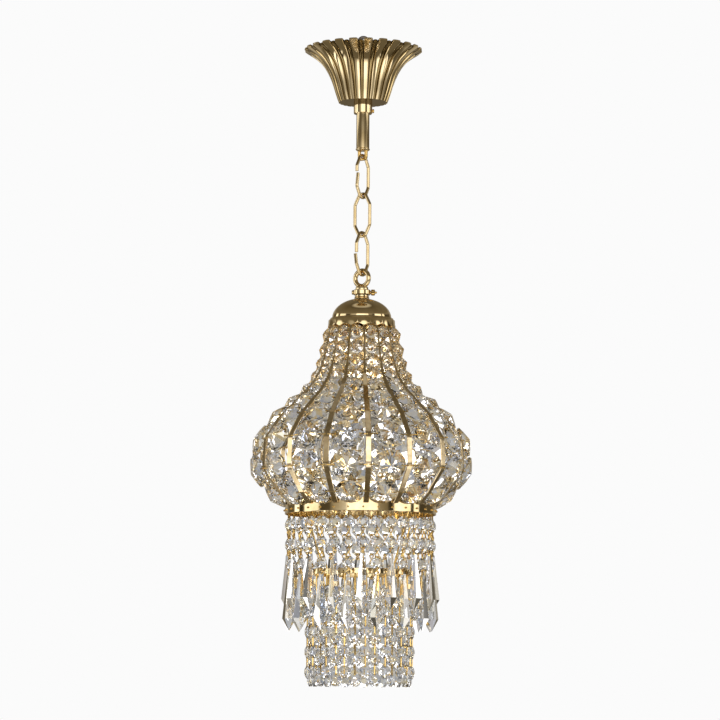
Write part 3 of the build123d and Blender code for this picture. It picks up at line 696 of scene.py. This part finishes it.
def dome():
    def arc(a, b, start, end, steps):
        angles = [start + (end - start) * k / steps for k in range(steps + 1)]
        return [(a * sin(angle), DOME_BASE + b * cos(angle)) for angle in angles]
    outer = arc(DOME_R, DOME_RISE, 0.16, pi / 2, 40)
    inner = arc(DOME_R - SHEET, DOME_RISE - SHEET, pi / 2, 0.17, 30)
    pile = Pile()
    pile.add(lathe(outer + inner, 128))
    pile.make("dome_spun", "pendant", "brass", BRASS, ["dome_cap"], smooth=True)


CROWN_HEIGHT = 11.0
# the lower edge of the crown rises between the ribs
SCALLOP, SCALLOP_POWER, SCALLOP_ZONE, SCALLOP_INSIDE_R = 2.6, 1.5, 1.5, 34.0


def crown():
    base = DOME_BASE - CROWN_HEIGHT

    def scalloped(angle, r, z):
        if z > base + SCALLOP_ZONE or r < SCALLOP_INSIDE_R:
            return r, z
        turn = (degrees(angle) - FRONT - RIB_FRONT) / COLUMN_STEP
        return r, z + SCALLOP * abs(sin(pi * turn)) ** SCALLOP_POWER
    pile = Pile()
    profile = [(33.1, DOME_BASE - 0.05), (34.4, DOME_BASE - 0.3), (34.9, DOME_BASE - 1.2),
               (35.2, DOME_BASE - 2.0), (36.2, DOME_BASE - 2.4), (36.5, DOME_BASE - 3.0), (36.7, base + 3.5),
               (37.0, base + 0.6), (37.0, base), (35.2, base), (35.0, base + 0.6), (35.0, DOME_BASE - 2.05),
               (5.05, DOME_BASE - 2.05), (5.05, DOME_BASE - 0.05)]
    pile.add(lathe(profile, COLUMNS * 16, scalloped))
    pile.make("crown_band", "pendant", "brass", BRASS, ["crown_collar"], smooth=True)


# ---------------------------------------------------------------- ribs and rings
def rib_strips():
    """Flat strips, slim between the neck beads and wider below, bent at each row of pins."""
    pile = Pile()
    route = rounded([(r, 0, z) for r, z in RIB_POINTS], RIB_BEND, 5)
    chamfer = RIB_CHAMFER
    verts = []
    for i, point in enumerate(route):
        share = max(0.0, min(1.0, (RIB_NECK_Z - point.z) / (RIB_NECK_Z - RIB_BELLY_Z)))
        half = RIB_NECK + (RIB_BELLY - RIB_NECK) * share
        along = (route[min(i + 1, len(route) - 1)] - route[max(i - 1, 0)]).normalized()
        inward = Vector((along.z, 0, -along.x))
        section = [(-half, chamfer), (-half + chamfer, 0.0), (half - chamfer, 0.0), (half, chamfer),
                   (half, RIB_THICK - chamfer), (half - chamfer, RIB_THICK), (-half + chamfer, RIB_THICK),
                   (-half, RIB_THICK - chamfer)]
        verts += [point + inward * depth + Vector((0, across, 0)) for across, depth in section]
    faces = ring_faces(len(route), 8)
    for k in range(COLUMNS):
        turn = Matrix.Rotation(radians(rib_angle(k)), 4, "Z")
        pile.add((verts, faces), turn)
    pile.make("rib_strips", "pendant", "brass", RIB_BRASS, ["ribs"], smooth=True)


def rib_slope(z):
    """Mean lean of the stretches of rib that meet at that height, in degrees, outwards going down."""
    leans = [degrees(atan2(r1 - r0, z0 - z1))
             for (r0, z0), (r1, z1) in zip(RIB_POINTS, RIB_POINTS[1:]) if z1 <= z <= z0]
    return sum(leans) / len(leans)


def chord_radius(radius):
    return (radius - RIB_THICK / 2) * cos(radians(COLUMN_STEP / 2))


def body_crystals():
    groups = (("neck_cut_beads", "neck_beads", BODY_ROWS[:4], NECK_GLASS),
              ("shoulder_cut_rosettes", "shoulder_rosettes", BODY_ROWS[4:7], ROSETTE_GLASS),
              ("belly_cut_rosettes", "belly_rosettes", BODY_ROWS[7:], ROSETTE_GLASS))
    for name, node, rows, glass in groups:
        pile = Pile()
        for radius, z, half_width, half_height, half_thick in rows:
            for k in range(COLUMNS):
                angle = rib_angle(k + 0.5)
                place = hang_matrix(angle, chord_radius(radius), z, rib_slope(z) + jitter(ROSETTE_LEAN),
                                    jitter(ROSETTE_YAW), jitter(ROSETTE_ROLL))
                pile.add(rosette(half_width, half_height, half_thick), place)
        pile.make(name, "pendant", "crystal", glass, [node])


PIN_UNDER_RIB = 0.8
ROSETTE_BITE, ROSETTE_BITE_MAX = 0.28, 5.0


def rosette_wires():
    """A wire pin runs from each rib into the side hole of each crystal, with a ball head on the rib."""
    pile = Pile()
    for radius, z, half_width, _, _ in BODY_ROWS:
        reach = chord_radius(radius) * tan(radians(COLUMN_STEP / 2)) - RIB_NECK * PIN_UNDER_RIB
        bite = min(half_width * ROSETTE_BITE, ROSETTE_BITE_MAX)
        for k in range(COLUMNS):
            angle = rib_angle(k + 0.5)
            place = hang_matrix(angle, chord_radius(radius), z)
            for side in (-1, 1):
                inner = half_width - bite
                pile.add(tube([(side * inner, 0, 0), (side * (inner + reach) / 2, 0, 0.1),
                               (side * reach, 0, 0)], ROSETTE_WIRE, 8), place)
                pile.add(sphere(ROSETTE_HEAD), place @ Matrix.Translation((side * inner, 0, 0)))
    pile.make("rosette_wire_pins", "pendant", "brass", GOLD_WIRE, ["rosette_pins"], smooth=True)


def flat_ring(radius, top, height, steps):
    """Ring bent from strip, with its four edges eased."""
    low, inside = top - height, radius - SHEET
    return lathe([(radius - 0.3, top), (radius, top - 0.4), (radius, low + 0.4), (radius - 0.3, low),
                  (inside + 0.2, low), (inside, low + 0.3), (inside, top - 0.3), (inside + 0.2, top)], steps)


def band():
    pile = Pile()
    pile.add(flat_ring(BAND_R, BAND_TOP, BAND_HEIGHT, 192))
    piece = pile.make("band_drilled", "pendant", "brass", BRASS, ["lower_band"], smooth=True)
    drill = Pile()
    for k in range(STRANDS):
        drill.add(bezel([(BAND_R - 4, 1.0), (BAND_R + 3, 1.0)], 10, (0, 0, BAND_HOLE_Z),
                        outwards(outer_angle(k))))
    mesh = bpy.data.meshes.new("drill")
    mesh.from_pydata(drill.verts, [], drill.faces)
    cutter = bpy.data.objects.new("drill", mesh)
    bpy.context.scene.collection.objects.link(cutter)
    cut = piece.modifiers.new("holes", "BOOLEAN")
    cut.operation, cut.solver, cut.object = "DIFFERENCE", "EXACT", cutter
    bpy.context.view_layer.update()
    evaluated = piece.evaluated_get(bpy.context.evaluated_depsgraph_get())
    drilled = bpy.data.meshes.new_from_object(evaluated)
    piece.modifiers.clear()
    piece.data = drilled
    bpy.data.objects.remove(cutter)


RODS, ROD_WIRE = 4, 0.95
ROD_FIRST = 3.5


def inner_ring():
    pile = Pile()
    pile.add(flat_ring(INNER_RING_R, INNER_RING_TOP, INNER_RING_HEIGHT, 160))
    pile.make("inner_ring_rolled", "pendant", "brass", BRASS, ["inner_ring"], smooth=True)
    pile = Pile()
    top_r, foot_r = BAND_R - SHEET - 1.2, INNER_RING_R - SHEET - 1.1
    for k in range(RODS):
        out = outwards(outer_angle(ROD_FIRST) + k * 360 / RODS)
        route = [out * top_r + Z_AXIS * (BAND_TOP - 1), out * top_r + Z_AXIS * (BAND_TOP - 7),
                 out * foot_r + Z_AXIS * (INNER_RING_TOP + 6), out * foot_r + Z_AXIS * (INNER_RING_TOP - 6)]
        pile.add(tube(rounded(route, 4.0, 5), ROD_WIRE, 10))
    pile.make("inner_ring_wires", "pendant", "brass", GOLD_WIRE, ["inner_ring_rods"], smooth=True)


# ---------------------------------------------------------------- lamps
LAMPS = 3
LAMP_FRONT = -60
ARM_R, CLUSTER_Z, HOLDER_TOP, HOLDER_LENGTH = 34.0, -378.0, -386.0, 34.0


def lamps():
    hub, holders, bulbs = Pile(), Pile(), Pile()
    hub.add(lathe([(0.01, -374.05), (10.4, -374.05), (11.0, -374.6), (11.0, -377.4), (10.2, -378.0),
                   (9.0, -378.4), (9.0, -383.2), (8.2, -384.0), (0.01, -384.0)], 64))
    for k in range(LAMPS):
        out = outwards(LAMP_FRONT + k * 360 / LAMPS)
        route = [out * 6 + Z_AXIS * (CLUSTER_Z - 3), out * ARM_R + Z_AXIS * (CLUSTER_Z - 3),
                 out * ARM_R + Z_AXIS * (HOLDER_TOP + 0.05)]
        hub.add(tube(rounded(route, 4.0, 8), 2.6, 16))
        centre = Matrix.Translation(out * ARM_R)
        top, low = HOLDER_TOP, HOLDER_TOP - HOLDER_LENGTH
        holders.add(lathe([(0.01, top), (7.0, top), (10.5, top - 2.0), (12.0, top - 5.0), (12.0, top - 20),
                           (11.4, top - 20.6), (12.0, top - 21.2), (12.0, low + 0.6), (11.4, low), (7.6, low),
                           (7.6, top - 3.0), (0.01, top - 3.0)], 40), centre)
        flame = [(7.1, 26.0), (7.1, -0.5)]
        flame += [(7.1 + 9.6 * sin(pi / 2 * t / 8) ** 0.9, -0.5 - 27.5 * t / 8) for t in range(1, 9)]
        flame += [(16.7 * cos(pi / 2 * t / 10) ** 0.85 + 0.01, -28 - 37.5 * (t / 10) ** 0.9)
                  for t in range(1, 11)]
        bulbs.add(lathe([(0.01, low + 26.0)] + [(r, low + z) for r, z in flame], 40, closed=False), centre)
    hub.make("lamp_hub", "pendant", "brass", BRASS, ["lamp_cluster"], smooth=True)
    holders.make("holder_sleeves", "pendant", "holder", HOLDER, ["lampholders"], smooth=True)
    bulbs.make("candle_bulbs", "pendant", "bulb_glass", BULB, ["bulbs"], smooth=True)


# ---------------------------------------------------------------- fringes
def add_clip(pile, angle, radius, top, low):
    """Brass link between two beads: an oval of wire that narrows at the middle, with ball heads."""
    middle, half = (top + low) / 2, (top - low) / 2 + CLIP_BITE
    place = hang_matrix(angle, radius, middle, yaw=jitter(CLIP_YAW))
    oval = [(CLIP_WIDE * sin(4 * pi * k / 24), half * cos(2 * pi * k / 24), CLIP_DEEP * sin(2 * pi * k / 24))
            for k in range(24)]
    pile.add(tube(oval, CLIP_WIRE, 6, closed=True), place)
    for side in (-1, 1):
        pile.add(sphere(CLIP_HEAD), place @ Matrix.Translation((0, side * half, 0.4)))


def add_pin(pile, angle, radius, top, low):
    """Straight brass pin with a ball head at each end."""
    middle, half = (top + low) / 2, (top - low) / 2 + PIN_BITE
    place = hang_matrix(angle, radius, middle)
    pile.add(tube([(0, -half, 0), (0, 0, 0), (0, half, 0)], PIN_WIRE, 8), place)
    for side in (-1, 1):
        pile.add(sphere(PIN_HEAD), place @ Matrix.Translation((0, side * half, 0)))


def band_hooks():
    """Wire hooks through the holes of the band, headed outside, that the outer strands hang from."""
    pile = Pile()
    for k in range(STRANDS):
        out = outwards(outer_angle(k))
        route = [out * (BAND_R + 0.5) + Z_AXIS * BAND_HOLE_Z, out * (OUTER_R + 0.8) + Z_AXIS * BAND_HOLE_Z,
                 out * OUTER_R + Z_AXIS * (HANG_Z + 0.6)]
        pile.add(tube(rounded(route, 1.2, 4), HOOK_WIRE, 8))
        pile.add(sphere(HOOK_HEAD), Matrix.Translation(out * (BAND_R + 0.6) + Z_AXIS * BAND_HOLE_Z))
    pile.make("band_wire_hooks", "pendant", "brass", GOLD_WIRE, smooth=True)


def outer_fringe(sector):
    gems, wires = Pile(), Pile()
    bead, drop = octagon_bead(OCTAGON, OUTER_BEAD_THICK), icicle_drop(ICICLE_LENGTH)
    for n in range(PER_SECTOR):
        index = sector * PER_SECTOR + n
        angle = outer_angle(index)
        centres = [OUTER_FIRST - i * OUTER_PITCH for i in range(2 + index % 2)]
        for z in centres:
            gems.add(bead, hang_matrix(angle, OUTER_R, z, jitter(OUTER_LEAN), jitter(OUTER_YAW),
                                       jitter(OUTER_ROLL)))
        icicle_top = centres[-1] - OCTAGON - LINK_DROP
        turn = random.choice(ICICLE_FACES) + jitter(ICICLE_YAW)
        gems.add(drop, hang_matrix(angle, OUTER_R, icicle_top, 0, turn))
        out = outwards(angle)
        hang_low = centres[0] + OCTAGON - CLIP_BITE
        wires.add(tube([out * OUTER_R + Z_AXIS * HANG_Z, out * OUTER_R + Z_AXIS * hang_low], HANGER_WIRE, 8))
        wires.add(sphere(HANGER_HEAD), Matrix.Translation(out * OUTER_R + Z_AXIS * HANG_Z))
        wires.add(sphere(HANGER_FOOT), Matrix.Translation(out * (OUTER_R + 0.5) + Z_AXIS * hang_low))
        ends = [z - OCTAGON for z in centres]
        for top, low in zip(ends, [z + OCTAGON for z in centres[1:]] + [icicle_top]):
            add_clip(wires, angle, OUTER_R, top, low)
    body = f"outer_fringe_{sector + 1}"
    gems.make(f"outer_cut_{sector + 1}", body, "crystal", BEAD_GLASS, [f"outer_crystals_{sector + 1}"])
    wires.make(f"outer_links_{sector + 1}", body, "brass", GOLD_WIRE, [f"outer_wires_{sector + 1}"],
               smooth=True)


def inner_fringe(sector):
    gems, wires = Pile(), Pile()
    bead = octagon_bead(OCTAGON, INNER_BEAD_THICK)
    for n in range(PER_SECTOR):
        index = sector * PER_SECTOR + n
        angle = FRONT + INNER_FRONT + index * STRAND_STEP
        low_one = index % 2
        # strands next to another sector hang straighter, so that they reach less into it as it swings
        play = INNER_EDGE_PLAY if n in (0, PER_SECTOR - 1) else INNER_PLAY
        radius = INNER_R - low_one * INNER_STEP_IN
        centres = [INNER_FIRST - low_one * INNER_STAGGER - i * INNER_PITCH for i in range(INNER_BEADS)]
        for z in centres:
            gems.add(bead, hang_matrix(angle, radius, z, jitter(play), jitter(2 * play), jitter(INNER_ROLL)))
        add_pin(wires, angle, radius, INNER_RING_TOP - INNER_RING_HEIGHT + 1, centres[0] + OCTAGON)
        for upper, lower in zip(centres, centres[1:]):
            add_pin(wires, angle, radius, upper - OCTAGON, lower + OCTAGON)
    body = f"inner_fringe_{sector + 1}"
    gems.make(f"inner_cut_{sector + 1}", body, "crystal", BEAD_GLASS, [f"inner_crystals_{sector + 1}"])
    wires.make(f"inner_links_{sector + 1}", body, "brass", GOLD_WIRE, [f"inner_wires_{sector + 1}"],
               smooth=True)


ceiling_eye()
rod()
shackle()
chain_link(1, LINK_PLANE_A, 4.0, 2.0)
chain_link(2, LINK_PLANE_B, None, 0.0)
chain_link(3, LINK_PLANE_A, 0.0, -2.0)
canopy()
loop_and_stem()
clamp()
dome()
crown()
rib_strips()
body_crystals()
rosette_wires()
band()
band_hooks()
inner_ring()
lamps()
for sector in range(SECTORS):
    outer_fringe(sector)
    inner_fringe(sector)


# ---------------------------------------------------------------- stage, light and camera
FLOOR_HALF, FLOOR_DROP = 9.0, 0.75


def floor():
    mesh = bpy.data.meshes.new("floor")
    size, level = FLOOR_HALF, cad_box[0].z - FLOOR_DROP
    mesh.from_pydata([(-size, -size, level), (size, -size, level), (size, size, level), (-size, size, level)],
                     [], [(0, 1, 2, 3)])
    material, nodes, links, shader = new_material("pale_floor")
    tone = add_noise(nodes, links, FLOOR_TONE)
    links.new(add_ramp(nodes, links, tone, [(0.3, (0.86, 0.86, 0.86)), (0.7, (0.90, 0.90, 0.90))]),
              shader.inputs["Base Color"])
    shader.inputs["Roughness"].default_value = 0.7
    mesh.materials.append(material)
    piece = bpy.data.objects.new("floor", mesh)
    bpy.context.scene.collection.objects.link(piece)
    piece.visible_glossy = False
    piece.visible_transmission = False


def room_tone(value):
    """White light; the dim parts of the room are brown."""
    warm = 1.0 - min(1.0, value / 0.7)
    return (value, value * (0.985 - 0.16 * warm), value * (0.955 - 0.46 * warm))


# brightness of the room at eye level, by degrees round from the camera's side: minus is to its left
ROOM_ROUND = [(-180, 0.4), (-150, 0.4), (-140, 0.12), (-120, 0.16), (-118, 2.3), (-108, 2.3), (-106, 0.04),
              (-96, 0.06), (-93, 1.9), (-68, 1.6), (-64, 0.08), (-48, 0.10), (-42, 0.45), (-22, 0.75),
              (-19, 2.3), (24, 1.9), (28, 0.35), (41, 0.25), (44, 0.05), (51, 0.05), (54, 2.0), (81, 2.0),
              (83, 0.05), (88, 0.05), (90, 2.2), (98, 1.8), (101, 0.06), (140, 0.12), (150, 0.4), (180, 0.4)]
# brightness above and below that, by degrees of height, and how far the eye-level picture reaches
ROOM_CAPS = [(-90, 0.12), (-60, 0.15), (-44, 0.25), (-34, 0.5), (-22, 0.5), (-16, 0.13), (-7, 0.13),
             (14, 0.5), (24, 0.2), (52, 0.16), (66, 0.12), (74, 0.6), (82, 0.45), (90, 0.15)]
ROOM_REACH = [(-62, 0.0), (-50, 0.9), (-30, 0.9), (-20, 0.3), (-9, 0.05), (-3, 1.0), (15, 1.0), (22, 0.0)]


def angle_ramp(nodes, links, radians_out, low, high, stops):
    """Colour ramp driven by an angle, its stops given in degrees between low and high."""
    span = nodes.new("ShaderNodeMapRange")
    span.inputs["From Min"].default_value = radians(low)
    span.inputs["From Max"].default_value = radians(high)
    links.new(radians_out, span.inputs["Value"])
    shares = [((degree - low) / (high - low), room_tone(value)) for degree, value in stops]
    return add_ramp(nodes, links, span.outputs["Result"], shares)


def node_math(nodes, links, operation, *values):
    node = nodes.new("ShaderNodeMath")
    node.operation = operation
    for socket, value in zip(node.inputs, values):
        if isinstance(value, float):
            socket.default_value = value
        else:
            links.new(value, socket)
    return node.outputs[0]


BACKDROP = (0.965, 0.965, 0.965, 1)
TENT_COLOR, TENT_SHARE = (0.64, 0.63, 0.61, 1), 0.5
# colour sockets of the Mix node, which shares their names with its other sockets
MIX_A, MIX_B, MIX_RESULT = 6, 7, 2


def studio_world():
    """White backdrop for the camera. What is mirrored and refracted is a room of lights and dark gaps."""
    world = bpy.data.worlds.new("studio")
    bpy.context.scene.world = world
    world.use_nodes = True
    nodes, links = world.node_tree.nodes, world.node_tree.links
    backdrop = nodes["Background"]
    backdrop.inputs["Color"].default_value = BACKDROP
    source = nodes.new("ShaderNodeTexCoord")
    split = nodes.new("ShaderNodeSeparateXYZ")
    links.new(source.outputs["Generated"], split.inputs["Vector"])
    towards = node_math(nodes, links, "MULTIPLY", split.outputs["Y"], -1.0)
    around = node_math(nodes, links, "ARCTAN2", split.outputs["X"], towards)
    height = node_math(nodes, links, "ARCSINE", split.outputs["Z"])
    level = angle_ramp(nodes, links, around, -180, 180, ROOM_ROUND)
    caps = angle_ramp(nodes, links, height, -90, 90, ROOM_CAPS)
    reach = angle_ramp(nodes, links, height, -90, 90, ROOM_REACH)
    mixed = nodes.new("ShaderNodeMix")
    mixed.data_type = "RGBA"
    links.new(reach, mixed.inputs["Factor"])
    links.new(caps, mixed.inputs[MIX_A])
    links.new(level, mixed.inputs[MIX_B])
    room = nodes.new("ShaderNodeBackground")
    links.new(mixed.outputs[MIX_RESULT], room.inputs["Color"])
    seen = nodes.new("ShaderNodeLightPath")
    pick = nodes.new("ShaderNodeMixShader")
    links.new(seen.outputs["Is Camera Ray"], pick.inputs["Fac"])
    # what comes through the crystals is half that room and half a pale grey tent
    calm = nodes.new("ShaderNodeBackground")
    calm.inputs["Color"].default_value = TENT_COLOR
    tent = node_math(nodes, links, "MULTIPLY", seen.outputs["Is Transmission Ray"], TENT_SHARE)
    softened = nodes.new("ShaderNodeMixShader")
    links.new(tent, softened.inputs["Fac"])
    links.new(room.outputs["Background"], softened.inputs[1])
    links.new(calm.outputs["Background"], softened.inputs[2])
    links.new(softened.outputs["Shader"], pick.inputs[1])
    links.new(backdrop.outputs["Background"], pick.inputs[2])
    links.new(pick.outputs["Shader"], nodes["World Output"].inputs["Surface"])


def soft_light(name, place, aim, size, power):
    data = bpy.data.lights.new(name, "AREA")
    data.shape, data.size, data.size_y, data.energy = "RECTANGLE", size[0], size[1], power
    light = bpy.data.objects.new(name, data)
    bpy.context.scene.collection.objects.link(light)
    light.location = place
    light.visible_glossy = False
    light.rotation_mode = "QUATERNION"
    light.rotation_quaternion = (Vector(aim) - Vector(place)).to_track_quat("-Z", "Y")


LENS, SENSOR = 160.7, 36.0
CAMERA_AT, CAMERA_AIM = (-0.0016, -3.5, -0.7333), (-0.0016, 0, -0.3538)
CAMERA_ROLL = 0.36


def camera():
    data = bpy.data.cameras.new("camera")
    data.lens, data.sensor_width = LENS, SENSOR
    eye = bpy.data.objects.new("camera", data)
    bpy.context.scene.collection.objects.link(eye)
    eye.location = CAMERA_AT
    eye.rotation_mode = "QUATERNION"
    eye.rotation_quaternion = ((Vector(CAMERA_AIM) - eye.location).to_track_quat("-Z", "Y")
                               @ Quaternion((0, 0, 1), radians(CAMERA_ROLL)))
    data.clip_start, data.clip_end = 0.05, 60
    bpy.context.scene.camera = eye
    bpy.context.scene.view_settings.view_transform = "Standard"


floor()
studio_world()
soft_light("key", (-1.6, -1.8, 0.9), (0, 0, -0.35), (0.9, 1.4), 34)
soft_light("fill", (1.9, -1.3, -0.2), (0, 0, -0.4), (0.5, 1.6), 22)
soft_light("back", (0.3, 2.2, 0.6), (0, 0, -0.4), (1.6, 1.2), 20)
camera()
